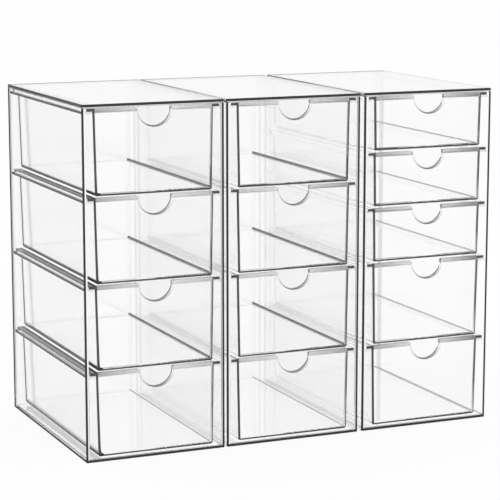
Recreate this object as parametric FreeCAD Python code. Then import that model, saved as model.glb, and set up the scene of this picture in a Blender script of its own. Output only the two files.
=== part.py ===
import FreeCAD, Part
import math
import os

# Three free-standing drawer towers of clear plastic for craft stamps and small parts.
# Each case is five glued sheets with a pair of rails to every row, and its moulded
# drawers hang on those rails by a flange along each side of the rim.
# Millimetres, +Z up, fronts towards -Y, origin on the floor under the middle of the row.

# Cases: glued sheets, all three of one size.
CASE_WIDTH = 127.0
CASE_DEPTH = 210.0
CASE_HEIGHT = 305.0
SHEET = 3.0
ARRIS = 0.4
LEFT_GAP = 2.5
RIGHT_GAP = 4.5

# Rows, from the top down. A tower's height is shared out by these units, so that a short
# row is two thirds as high as a tall one.
ROW_UNITS = {"short": 2, "tall": 3}
TOWER_ROWS = {
    "left": ("tall", "tall", "tall", "tall"),
    "middle": ("tall", "tall", "tall", "tall"),
    "right": ("short", "short", "short", "tall", "tall"),
}
BASE_AIR = 0.8

# Rails: strips glued to the inner faces of the side sheets.
RAIL_THICKNESS = 2.2
RAIL_SETBACK = 1.0

# Drawers: one moulding each, open at the top, wider at the rim than at the floor.
DRAWER_AIR = {"short": 2.0, "tall": 1.4}
RIM_AIR = 0.6
SIDE_AIR = 6.6
REAR_AIR = 0.3
DRAFT_DEGREES = 1.1
WALL = 1.8
FRONT_WALL = 2.3
FLOOR = 1.9
OUTER_RADIUS = 1.6
INNER_RADIUS = 0.8
OUTER_BEVEL = 1.2
INNER_BEVEL = 0.6

# Flange along each side of the rim, which slides on the rails.
FLANGE_THICKNESS = 2.2
FLANGE_WALL_AIR = 1.1
FLANGE_FRONT_RADIUS = 0.6
FLANGE_REAR_RADIUS = 3.0
SEAT_AIR = 0.3
RAIL_DRAWER_AIR = 1.0

# Front rim: a bead along the inside of the front wall, and the finger notch through both.
BEAD_HEIGHT = 3.6
BEAD_DEPTH = 1.3
NOTCH_RADIUS = 15.0
NOTCH_CENTRE_DROP = 0.8
NOTCH_LIP_RADIUS = 1.5

# Sizes that follow from the ones above.
ROWS_HEIGHT = CASE_HEIGHT - 2 * SHEET - BASE_AIR
CASE_INNER_WIDTH = CASE_WIDTH - 2 * SHEET
RAIL_WIDTH = SIDE_AIR - RAIL_DRAWER_AIR
RAIL_LENGTH = CASE_DEPTH - SHEET - RAIL_SETBACK
RAIL_DROP = RIM_AIR + FLANGE_THICKNESS + SEAT_AIR + RAIL_THICKNESS
FLANGE_HALF_WIDTH = CASE_INNER_WIDTH / 2 - FLANGE_WALL_AIR
RIM_HALF_WIDTH = CASE_INNER_WIDTH / 2 - SIDE_AIR
RIM_LENGTH = CASE_DEPTH - SHEET - REAR_AIR
DRAFT = math.tan(math.radians(DRAFT_DEGREES))
# How far a cutter runs past the face that it opens, and how closely an edge is recognised.
OVERRUN = 1.0
NEAR = 1e-5


def level_edges(solid, z):
    """The edges of a solid that lie at one height."""
    found = []
    for edge in solid.Edges:
        box = edge.BoundBox
        if abs(box.ZMin - z) < NEAR and abs(box.ZMax - z) < NEAR:
            found.append(edge)
    return found


def rising_edges(solid, low, high):
    """The edges of a solid that run from one height up to another."""
    found = []
    for edge in solid.Edges:
        box = edge.BoundBox
        if abs(box.ZMin - low) < NEAR and abs(box.ZMax - high) < NEAR:
            found.append(edge)
    return found


def rim_outline(height, wall, z):
    """Half width and rear end of the drafted walls at one height, counted inwards from the rim."""
    shrink = wall + DRAFT * (height - z)
    return RIM_HALF_WIDTH - shrink, RIM_LENGTH - shrink


def tub(height, wall, front, low, high, radius, bevel):
    """Drafted block with rounded corners and a bevelled floor edge: only its front is upright."""
    low_x, low_rear = rim_outline(height, wall, low)
    high_x, high_rear = rim_outline(height, wall, high)
    # A wedge grows along +Y, so it is drawn lying on its front and then stood up.
    block = Part.makeWedge(-low_x, low, -low_rear, -high_rear, -high_x, low_x, high, -front, -front, high_x)
    block.rotate(FreeCAD.Vector(0, 0, 0), FreeCAD.Vector(1, 0, 0), 90)
    block = block.makeFillet(radius, rising_edges(block, low, high))
    return block.makeChamfer(bevel, level_edges(block, low))


def flange_plate(height):
    """Plate that gives the flange its outline: flush at front and rear, and proud at the sides."""
    low = height - FLANGE_THICKNESS
    corner = FreeCAD.Vector(-FLANGE_HALF_WIDTH, 0, low)
    plate = Part.makeBox(2 * FLANGE_HALF_WIDTH, RIM_LENGTH, FLANGE_THICKNESS, corner)
    for radius, y in ((FLANGE_FRONT_RADIUS, 0), (FLANGE_REAR_RADIUS, RIM_LENGTH)):
        corners = [edge for edge in rising_edges(plate, low, height) if abs(edge.CenterOfMass.y - y) < NEAR]
        plate = plate.makeFillet(radius, corners)
    return plate


def front_bead(height):
    """Bar behind the front wall's rim, with a sloped underside so that it leaves the mould."""
    low = height - BEAD_HEIGHT
    high = height + OVERRUN
    back = FRONT_WALL + BEAD_DEPTH
    corners = ((0, low), (FRONT_WALL, low), (back, low + BEAD_DEPTH), (back, high), (0, high))
    points = [FreeCAD.Vector(-RIM_HALF_WIDTH, y, z) for y, z in corners]
    profile = Part.Face(Part.makePolygon(points + points[:1]))
    return profile.extrude(FreeCAD.Vector(2 * RIM_HALF_WIDTH, 0, 0))


def cavity(height):
    """The drawer's inside, up to and past its rim, left solid where the front bead stands."""
    block = tub(height, WALL, FRONT_WALL, FLOOR, height + OVERRUN, INNER_RADIUS, INNER_BEVEL)
    return block.cut(front_bead(height))


def notched(solid, height):
    """Cuts the half-moon finger notch through the front rim and rounds the two lips it leaves."""
    centre_z = height - NOTCH_CENTRE_DROP
    start = FreeCAD.Vector(0, -OVERRUN, centre_z)
    depth = FRONT_WALL + BEAD_DEPTH + 2 * OVERRUN
    cut = solid.cut(Part.makeCylinder(NOTCH_RADIUS, depth, start, FreeCAD.Vector(0, 1, 0)))
    lip_x = math.sqrt(NOTCH_RADIUS ** 2 - NOTCH_CENTRE_DROP ** 2)
    lips = []
    for edge in level_edges(cut, height):
        middle = edge.CenterOfMass
        if abs(abs(middle.x) - lip_x) < NEAR and middle.y < FRONT_WALL + BEAD_DEPTH:
            lips.append(edge)
    return cut.makeFillet(NOTCH_LIP_RADIUS, lips)


def drawer(height):
    """One moulding, with its front at y = 0 and its floor's underside at z = 0."""
    body = tub(height, 0, 0, 0, height, OUTER_RADIUS, OUTER_BEVEL)
    body = body.fuse(flange_plate(height)).cut(cavity(height)).removeSplitter()
    return notched(body, height)


def sheet(width, depth, height, x, y, z):
    """Flat sheet with all of its edges broken by a small chamfer."""
    block = Part.makeBox(width, depth, height, FreeCAD.Vector(x, y, z))
    return block.makeChamfer(ARRIS, block.Edges)


def case_sheets():
    """The case's five sheets: the sides reach the floor, and the top lies over them."""
    side_height = CASE_HEIGHT - SHEET
    left = -CASE_WIDTH / 2
    right = CASE_WIDTH / 2 - SHEET
    inner = left + SHEET
    back = CASE_DEPTH - SHEET
    return {
        "left_side": sheet(SHEET, CASE_DEPTH, side_height, left, 0, 0),
        "right_side": sheet(SHEET, CASE_DEPTH, side_height, right, 0, 0),
        "top": sheet(CASE_WIDTH, CASE_DEPTH, SHEET, left, 0, side_height),
        "base": sheet(CASE_INNER_WIDTH, back, SHEET, inner, 0, 0),
        "back": sheet(CASE_INNER_WIDTH, SHEET, side_height, inner, back, 0),
    }


def rail(side, ceiling):
    """Strip on a side sheet's inner face, under the flange of the drawer in that row."""
    inner = CASE_INNER_WIDTH / 2
    x = -inner if side == "left" else inner - RAIL_WIDTH
    corner = FreeCAD.Vector(x, RAIL_SETBACK, ceiling - RAIL_DROP)
    return Part.makeBox(RAIL_WIDTH, RAIL_LENGTH, RAIL_THICKNESS, corner)


def tower(rows):
    """Every piece of one tower, by name, with the case's front at y = 0."""
    pieces = {"case_" + name: solid for name, solid in case_sheets().items()}
    unit = ROWS_HEIGHT / sum(ROW_UNITS[kind] for kind in rows)
    moulded = {kind: drawer(ROW_UNITS[kind] * unit - DRAWER_AIR[kind]) for kind in set(rows)}
    ceiling = CASE_HEIGHT - SHEET
    for number, kind in enumerate(rows, start=1):
        for side in ("left", "right"):
            pieces[f"rail_{number}_{side}"] = rail(side, ceiling)
        height = ROW_UNITS[kind] * unit - DRAWER_AIR[kind]
        placed = moulded[kind].copy()
        placed.translate(FreeCAD.Vector(0, 0, ceiling - RIM_AIR - height))
        pieces[f"drawer_{number}"] = placed
        ceiling -= ROW_UNITS[kind] * unit
    return pieces


def main():
    os.makedirs("parts", exist_ok=True)
    row_width = 3 * CASE_WIDTH + LEFT_GAP + RIGHT_GAP
    left_centre = (CASE_WIDTH - row_width) / 2
    middle_centre = left_centre + CASE_WIDTH + LEFT_GAP
    centres = {
        "left": left_centre,
        "middle": middle_centre,
        "right": middle_centre + CASE_WIDTH + RIGHT_GAP,
    }
    for place, rows in TOWER_ROWS.items():
        for name, solid in tower(rows).items():
            solid.translate(FreeCAD.Vector(centres[place], -CASE_DEPTH / 2, 0))
            solid.exportStep(f"parts/{place}_{name}.step")


main()
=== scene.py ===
import math
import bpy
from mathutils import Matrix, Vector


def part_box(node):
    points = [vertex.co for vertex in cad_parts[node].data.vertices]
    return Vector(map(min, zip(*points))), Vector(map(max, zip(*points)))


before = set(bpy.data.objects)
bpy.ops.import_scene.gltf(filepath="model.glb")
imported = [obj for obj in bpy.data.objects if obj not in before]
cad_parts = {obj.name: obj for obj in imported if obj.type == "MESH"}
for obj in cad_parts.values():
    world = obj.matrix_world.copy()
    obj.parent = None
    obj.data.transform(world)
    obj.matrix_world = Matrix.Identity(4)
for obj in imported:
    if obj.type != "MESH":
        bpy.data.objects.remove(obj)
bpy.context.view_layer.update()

from types import SimpleNamespace

import bpy
from mathutils import Vector

# The camera stands to the left of the row and a little above it, level from side to side.
# It is aimed at no single piece, and its frame is square.
SENSOR = 36
FOCAL_LENGTH = 141.2
VIEW_REACH = 50
STANDPOINT = (-0.7123, -1.6337, 0.465)
TURN = math.radians(23.647)
DIP = math.radians(9.91)
scene = bpy.context.scene
scene.view_settings.view_transform = "Standard"
camera = bpy.data.cameras.new("camera")
camera.sensor_width = SENSOR
camera.lens = FOCAL_LENGTH
camera.clip_end = VIEW_REACH
camera_object = bpy.data.objects.new("camera", camera)
scene.collection.objects.link(camera_object)
line_of_sight = Vector(
    (math.sin(TURN) * math.cos(DIP), math.cos(TURN) * math.cos(DIP), -math.sin(DIP))
)
camera_object.location = STANDPOINT
camera_object.rotation_euler = line_of_sight.to_track_quat("-Z", "Y").to_euler()
scene.camera = camera_object

# A white table and backdrop in one, far wider than the row. It is a single flat board.
# The board is matt, so it keeps the row's soft shadow, and its own glow makes it white.
TABLE_REACH = 8.0
TABLE_PAINT = (0.97, 0.97, 0.97, 1)
TABLE_GLOW = 0.9
WHITE = (1, 1, 1, 1)


class Wire:
    """A socket in a node tree. Arithmetic on it adds the Math nodes for the expression."""

    def __init__(self, tree, socket=None):
        self.tree = tree
        self.socket = socket

    def node(self, kind, settings=(), sockets=(), output=0):
        """A node of one type: its settings come first, then its sockets' values or links."""
        made = self.tree.nodes.new("ShaderNode" + kind)
        for name, value in dict(settings).items():
            setattr(made, name, value)
        for name, value in dict(sockets).items():
            if isinstance(value, Wire):
                self.tree.links.new(value.socket, made.inputs[name])
            else:
                made.inputs[name].default_value = value
        return Wire(self.tree, made.outputs[output] if made.outputs else None)

    def math(self, operation, *values):
        return self.node("Math", {"operation": operation}, enumerate(values))

    def __add__(self, other):
        return self.math("ADD", self, other)

    def __sub__(self, other):
        return self.math("SUBTRACT", self, other)

    def __rsub__(self, other):
        return self.math("SUBTRACT", other, self)

    def __mul__(self, other):
        return self.math("MULTIPLY", self, other)

    def __truediv__(self, other):
        return self.math("DIVIDE", self, other)

    def __rtruediv__(self, other):
        return self.math("DIVIDE", other, self)

    def __or__(self, other):
        return self.math("MAXIMUM", self, other)

    def __gt__(self, other):
        return self.math("GREATER_THAN", self, other)

    def __lt__(self, other):
        return self.math("LESS_THAN", self, other)

    def __abs__(self):
        return self.math("ABSOLUTE", self)

    __radd__ = __add__
    __rmul__ = __mul__
    __ror__ = __or__

    def root(self):
        return self.math("SQRT", self)

    def between(self, low, high):
        return (self > low) * (self < high)

    def clipped(self):
        return self.math("MINIMUM", self, 1.0) | 0.0


def empty_tree(owner):
    """The cleared node tree of a material or a sky, ready for wires."""
    owner.use_nodes = True
    owner.node_tree.nodes.clear()
    return Wire(owner.node_tree)


def seen(tree):
    """One where the eye sees a surface straight on, in a mirror or through glass."""
    return (
        tree.node("LightPath", output="Is Camera Ray")
        | tree.node("LightPath", output="Is Glossy Ray")
        | tree.node("LightPath", output="Is Transmission Ray")
    )


table_mesh = bpy.data.meshes.new("table")
table_mesh.from_pydata(
    [(x * TABLE_REACH, y * TABLE_REACH, 0) for x, y in ((-1, -1), (1, -1), (1, 1), (-1, 1))],
    [],
    [(0, 1, 2, 3)],
)
table = bpy.data.objects.new("table", table_mesh)
scene.collection.objects.link(table)
table_white = bpy.data.materials.new("table white")
tree = empty_tree(table_white)
matt = tree.node("BsdfDiffuse", (), {"Color": TABLE_PAINT})
glow = tree.node("Emission", (), {"Color": WHITE, "Strength": 1.0})
board = tree.node("MixShader", (), {0: seen(tree) * TABLE_GLOW, 1: matt, 2: glow})
tree.node("OutputMaterial", (), {"Surface": board})
table_mesh.materials.append(table_white)

# An even white sky stands for the rest of the studio, and it gives most of the light.
# Its light on the row is a shade under white, so that the pale pieces don't clip.
SKY_LIGHT = 0.95
sky = bpy.data.worlds.new("sky")
scene.world = sky
tree = empty_tree(sky)
strength = seen(tree) * (1 - SKY_LIGHT) + SKY_LIGHT
tree.node(
    "OutputWorld", (),
    {"Surface": tree.node("Background", (), {"Color": WHITE, "Strength": strength})},
)

# Two wide soft lamps hang over the row, one at its left front, one behind its right shoulder.
# Clear plastic passes light through many faces, so light is followed for as many.
ROW_MIDDLE = Vector((0, 0, 0.15))
for name, place, size, watts in (
    ("front lamp", (-0.9, -0.9, 1.3), 1.2, 3.0),
    ("back lamp", (0.9, 0.7, 1.2), 0.9, 1.5),
):
    lamp = bpy.data.lights.new(name, "AREA")
    lamp.size = size
    lamp.energy = watts
    lamp_object = bpy.data.objects.new(name, lamp)
    scene.collection.objects.link(lamp_object)
    lamp_object.location = place
    aim = ROW_MIDDLE - lamp_object.location
    lamp_object.rotation_euler = aim.to_track_quat("-Z", "Y").to_euler()
scene.cycles.max_bounces = 96
scene.cycles.transmission_bounces = 96
scene.cycles.glossy_bounces = 32
scene.cycles.transparent_max_bounces = 48

# The top of each case is a clear cast sheet, 3 mm thick, sawn to size, polished and glued
# down on the others. Its big faces are nearly invisible, its arrises carry painted shade as
# dark lines, and its sawn front is a pale band. A hair of air keeps glued faces apart.
MM = 0.001
TOWERS = ("left", "middle", "right")
CLEAR_TINT = 0.998
SHADOW_TINT = (0.99, 0.99, 0.99, 1)
BEND = 1.49
SHEET_CLARITY = 0.997
POLISH = 0.005
EDGE_ROUGHNESS = 0.6
# The pale of a bare sawn edge, and the dark of the shade painted on arrises.
EDGE_BARE = (0.97, 0.97, 0.97, 1)
EDGE_PAINTED_SHADE = (0.05, 0.05, 0.05, 1)
RIPPLE = 0.6
RIPPLE_SCALE = 60.0
SAW_MARK_SCALE = 900.0
SAW_MARK_DEPTH = 0.05 * MM
SAW_MARK_STRENGTH = 0.1
SEAM = 0.02 * MM
SAWN_SKIN = 0.05 * MM
STROKE = 1.5 * MM
# The top sheets are tinted darker than the other sheets of the same plastic, a painted shade.
TOP_PAINTED_SHADE = 0.9
TOP_LINE = 2.2 * MM
TOP_END = 0.8 * MM
TOP_BACK = 4.0 * MM
TOP_BACK_TONE = 0.85
# How dark the painted shade on the left arris is above and below, how tall the right one's is,
# and how dark.
TOP_LOOKS = {
    "left": (0.95, 0.4, 1.0 * MM, 0.3),
    "middle": (0.3, 0.1, 1.0 * MM, 0.3),
    "right": (0.3, 0.1, 2.2 * MM, 0.6),
}


def start_clear(name):
    """Begin a piece's material, and measure each point of it from the six faces of its box."""
    low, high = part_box(name)
    material = bpy.data.materials.new(name.replace("_", " "))
    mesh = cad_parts[name].data
    mesh.materials.clear()
    mesh.materials.append(material)
    tree = empty_tree(material)
    place = tree.node("TexCoord", output="Object")
    x, y, z = (tree.node("SeparateXYZ", (), {0: place}, axis) for axis in "XYZ")
    return SimpleNamespace(
        tree=tree, name=name, place=place, width=high[0] - low[0],
        left=x - low[0], right=high[0] - x,
        front=y - low[1], back=high[1] - y,
        rise=z - low[2], drop=high[2] - z,
    )


def finish_clear(
    piece, painted_shade, cut=0.0, rough=POLISH, bend=BEND, clarity=SHEET_CLARITY, tint=CLEAR_TINT
):
    """Finish a piece's material. Its second argument is painted shade: how dark the line painted
    on an arris reads, standing in for the dark that clear plastic's edges show by bending light.
    cut is how far a sawn edge hides the inside, bend the refractive index, and clarity the share
    of light not scattered."""
    tree = piece.tree
    ripple = tree.node(
        "TexNoise", (), {"Vector": piece.place, "Scale": RIPPLE_SCALE, "Detail": 2.0}, "Fac"
    )
    clear = tree.node("BsdfPrincipled", (), {
        "Base Color": (tint, tint, tint, 1),
        "Roughness": rough * (ripple * RIPPLE + (1 - RIPPLE / 2)),
        "IOR": bend,
        "Transmission Weight": clarity,
    })
    saw_marks = tree.node(
        "TexNoise", (), {"Vector": piece.place, "Scale": SAW_MARK_SCALE, "Detail": 3.0}, "Fac"
    )
    # Where painted shade or a sawn edge covers the clear plastic, an opaque finish shows: dark
    # where shade is painted, pale on a bare sawn edge.
    edge = tree.node("BsdfPrincipled", (), {
        "Base Color": tree.node(
            "Mix", {"data_type": "RGBA"}, {0: painted_shade, 6: EDGE_BARE, 7: EDGE_PAINTED_SHADE}, 2
        ),
        "Roughness": EDGE_ROUGHNESS,
        "Specular IOR Level": 0.0,
        "Normal": tree.node(
            "Bump", (),
            {"Strength": SAW_MARK_STRENGTH, "Distance": SAW_MARK_DEPTH, "Height": saw_marks},
        ),
    })
    solid = tree.node("MixShader", (), {0: painted_shade | cut, 1: clear, 2: edge})
    shadow = tree.node("LightPath", output="Is Shadow Ray")
    thin = tree.node("BsdfTransparent", (), {"Color": SHADOW_TINT})
    surface = tree.node("MixShader", (), {0: shadow, 1: solid, 2: thin})
    tree.node("OutputMaterial", (), {"Surface": surface})


def part_seam(name):
    """Draw a glued piece's faces back, so that no two lie in one plane."""
    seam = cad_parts[name].modifiers.new("seam", "DISPLACE")
    seam.strength = -SEAM
    seam.mid_level = 0


for tower in TOWERS:
    left_tone, foot_tone, right_height, right_tone = TOP_LOOKS[tower]
    top = start_clear(f"{tower}_case_top")
    upper = top.drop < TOP_LINE
    left_end = top.left < TOP_END
    painted_shade = (top.front < STROKE) * upper
    painted_shade = painted_shade | left_end * upper * left_tone | left_end * foot_tone
    painted_shade = painted_shade | (top.right < TOP_END) * (top.drop < right_height) * right_tone
    painted_shade = painted_shade | (top.back < TOP_BACK) * TOP_BACK_TONE
    finish_clear(top, painted_shade, cut=top.front < SAWN_SKIN, tint=TOP_PAINTED_SHADE)
    part_seam(top.name)

# The base of each case is a sheet of the same plastic, glued in between the side sheets.
# Only its sawn front edge shows, with a dark line of painted shade along the foot.
FOOT_HEIGHT = 2.4 * MM
FOOT_DEPTH = 2.0 * MM
for tower in TOWERS:
    base = start_clear(f"{tower}_case_base")
    foot = (base.front < FOOT_DEPTH) * (base.rise < FOOT_HEIGHT)
    finish_clear(base, foot, cut=base.front < SAWN_SKIN)
    part_seam(base.name)

# The back of each case is a sheet of the same plastic, glued in between the side sheets and
# under the top. Its glued rim carries a faint dark line of painted shade on the outside.
RIM = 0.8 * MM
RIM_DEPTH = 0.6 * MM
RIM_TONE = 0.2
for tower in TOWERS:
    sheet = start_clear(f"{tower}_case_back")
    rim = (sheet.left < RIM) | (sheet.right < RIM) | (sheet.rise < RIM)
    finish_clear(sheet, rim * (sheet.back < RIM_DEPTH) * RIM_TONE)
    part_seam(sheet.name)

# The sides of each case are sheets of the same plastic, glued under the top. Their outer
# arrises carry painted shade as dark lines, most of all on the row's two ends. Those two
# sheets bend light only a little here, so that glare doesn't hide the lines behind them.
END_BEND = 1.1
EDGE_DEPTH = 1.6 * MM
BACK_EDGE = 4.8 * MM
END_FOOT = (1.0 * MM, 2.2 * MM)
# How wide the painted shade on the front arris is and how dark on the end's back one, for left
# and right sheets.
SIDE_LOOKS = {"left": (STROKE, 1.0), "right": (2.1 * MM, 0.4)}
# The left end sheet is tinted a little darker than the same plastic elsewhere, a painted shade
# on the row's left side.
LEFT_END_PAINTED_SHADE = 0.965
for tower in TOWERS:
    for side in ("left", "right"):
        front_width, back_tone = SIDE_LOOKS[side]
        sheet = start_clear(f"{tower}_case_{side}_side")
        outward = sheet.left if side == "left" else sheet.right
        painted_shade = (outward < front_width) * (sheet.front < EDGE_DEPTH)
        painted_shade = painted_shade | (sheet.front < FOOT_DEPTH) * (sheet.rise < FOOT_HEIGHT)
        bend, tint = BEND, CLEAR_TINT
        if tower == side:
            painted_shade = painted_shade | (outward < STROKE) * (sheet.back < BACK_EDGE) * back_tone
            painted_shade = painted_shade | (outward < END_FOOT[0]) * (sheet.rise < END_FOOT[1])
            bend, tint = END_BEND, LEFT_END_PAINTED_SHADE if side == "left" else CLEAR_TINT
        finish_clear(sheet, painted_shade, cut=sheet.front < SAWN_SKIN, bend=bend, tint=tint)
        part_seam(sheet.name)

# The rails are clear strips glued along the inside of the side sheets, one pair to a row.
# Their long glued edges carry two thin lines of painted shade, bold at the row's left end and
# faint elsewhere, and their sawn front ends are pale.
GLUE_LINE = 0.6 * MM
GLUE_START = 5.0 * MM
RAIL_LOWER_LINE = 1.8 * MM
RAIL_UPPER_LINE = 1.0 * MM
RAIL_UPPER_TONE = 0.85
RAIL_REAR = (2.0 * MM, 3.0 * MM)
RAIL_END = 0.5 * MM
RAIL_END_TONE = 0.85
END_RAIL_TONE = {"left": 1.0, "right": 0.2}
INNER_RAIL_TONE = 0.05
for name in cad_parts:
    if "_rail_" not in name:
        continue
    tower, side = name.split("_")[0], name.split("_")[-1]
    tone = END_RAIL_TONE[side] if tower == side else INNER_RAIL_TONE
    rail = start_clear(name)
    glued = rail.left if side == "left" else rail.right
    along = (glued < GLUE_LINE) * (rail.front > GLUE_START) * tone
    painted_shade = along * (rail.rise < RAIL_LOWER_LINE)
    painted_shade = painted_shade | along * (rail.drop < RAIL_UPPER_LINE) * RAIL_UPPER_TONE
    painted_shade = painted_shade | (glued < RAIL_REAR[0]) * (rail.back < RAIL_REAR[1]) * tone
    finish_clear(rail, painted_shade, cut=(rail.front < RAIL_END) * RAIL_END_TONE)
    part_seam(name)

# The drawers are one clear injection moulding each. A flange along both sides hangs on the
# rails, a bead stiffens the front rim, and a half-moon notch in it takes a fingertip. The
# front is polished, and the drafted side walls keep a fine texture from leaving the mould.
DRAFT = math.tan(math.radians(1.1))
FLANGE_REACH = 5.5 * MM
WALL_FACE = -0.3 * MM
WALL_BAND = 2.2 * MM
WALL_START = 3.0 * MM
WALL_ROUGHNESS = 0.065
DRAWER_CLARITY = 0.995
FRONT_TONE = 0.97
FRONT_FOOT = (1.7 * MM, 2.4 * MM)
FRONT_SKIN = 0.7 * MM
FLANGE_ROOT = -0.2 * MM
BEAD_HEIGHT = 3.6 * MM
BEAD_DEPTH = 4.0 * MM
BEAD_TONE = 0.25
# How much darker the bead's painted shade grows towards both corners, and towards the right one
# alone.
BEAD_SHADE = {"left": (0.3, -0.08), "middle": (0.3, 0.08), "right": (0.45, 0.08)}
NOTCH_RADIUS = 15.0 * MM
NOTCH_DROP = 0.8 * MM
LIP = 1.4 * MM
LIP_SPREAD = 0.045
# The lip's painted shade at the rim, how much darker it grows downwards, and how much paler
# rightwards.
LIP_TONE = 0.12
LIP_DARKENS = 0.75
LIP_PALES = 0.1
CREASE_INWARD = (1.0 * MM, 2.9 * MM)
CREASE_FOOT = 1.0 * MM
# How high the painted shade in the crease between the right wall and the floor reaches, and how
# dark it is.
FINE_CREASE = (2.4 * MM, 0.65)
FULL_CREASE = (3.4 * MM, 0.88)
RIGHT_END_TONE = 0.1
FLOOR_LINE = (4.5 * MM, 2.4 * MM)
REAR_LINE = (FLANGE_ROOT, 0.6 * MM)
REAR_CORNER = 4.8 * MM
REAR_LEAN = 0.02
FLANGE_LINE = (0.1 * MM, 0.7 * MM)
FLANGE_TONE = 0.95
TOP_FLANGE_TONE = 0.35
FLANGE_MIDDLE = (-4.4 * MM, -1.1 * MM)
# A painted highlight: the flange's dark line is paler over its middle.
FLANGE_PAINTED_HIGHLIGHT = 0.25
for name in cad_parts:
    if "_drawer_" not in name:
        continue
    tower, _, row = name.split("_")
    drawer = start_clear(name)
    across = (drawer.left - drawer.right) * 0.5
    half = drawer.width / 2 - FLANGE_REACH
    inward = half - drawer.drop * DRAFT - abs(across)

    # The front's outline: painted shade as dark lines at its corners, foot and flange ends.
    painted_shade = inward.between(WALL_FACE, STROKE) * (drawer.front < EDGE_DEPTH) * FRONT_TONE
    foot = (drawer.rise < FRONT_FOOT[0]) * (drawer.front < FRONT_FOOT[1])
    flange = (inward < FLANGE_ROOT) * (drawer.front < FRONT_SKIN)
    painted_shade = painted_shade | foot * FRONT_TONE | flange * FRONT_TONE

    # Painted shade on the bead behind the rim, and on the rounded lip of the notch.
    slope, lean = BEAD_SHADE[tower]
    bead = (drawer.drop < BEAD_HEIGHT) * (drawer.front < BEAD_DEPTH) * (inward > STROKE)
    painted_shade = painted_shade | bead * ((abs(across) * slope + across * lean) / half + BEAD_TONE)
    below = drawer.drop - NOTCH_DROP
    from_notch = (across * across + below * below).root()
    lip = (from_notch > NOTCH_RADIUS) * (drawer.front < FRONT_SKIN)
    lip = lip * (from_notch - across * LIP_SPREAD < NOTCH_RADIUS + LIP)
    shade = (below * LIP_DARKENS - across * LIP_PALES) / NOTCH_RADIUS + LIP_TONE
    painted_shade = painted_shade | lip * shade.clipped()

    # Painted shade in the crease along the inside of the floor, fine on the lowest and the right
    # drawers.
    fine = tower == "right" or row == "4"
    crease_top, crease_tone = FINE_CREASE if fine else FULL_CREASE
    crease = inward.between(*CREASE_INWARD) * drawer.rise.between(CREASE_FOOT, crease_top)
    painted_shade = painted_shade | (across > 0) * crease * crease_tone

    # Painted shade as dark lines on the floor's, the rear's and the flange's arrises on the
    # row's two ends, with a painted highlight over the flange's middle.
    if tower != "middle":
        end = across < 0 if tower == "left" else (across > 0) * RIGHT_END_TONE
        floor = (inward < FLOOR_LINE[0]) * (drawer.rise < FLOOR_LINE[1])
        rear = inward.between(*REAR_LINE) * (drawer.back - drawer.drop * REAR_LEAN < REAR_CORNER)
        rim = (inward < FLANGE_LINE[0]) * (drawer.drop < FLANGE_LINE[1])
        if row == "1":
            rim = rim * TOP_FLANGE_TONE
        else:
            rim = rim * (FLANGE_TONE - inward.between(*FLANGE_MIDDLE) * FLANGE_PAINTED_HIGHLIGHT)
        painted_shade = painted_shade | end * (floor | rear | rim)

    walls = inward.between(WALL_FACE, WALL_BAND) * (drawer.front > WALL_START)
    rough = walls * WALL_ROUGHNESS + POLISH
    finish_clear(drawer, painted_shade, rough=rough, clarity=DRAWER_CLARITY)
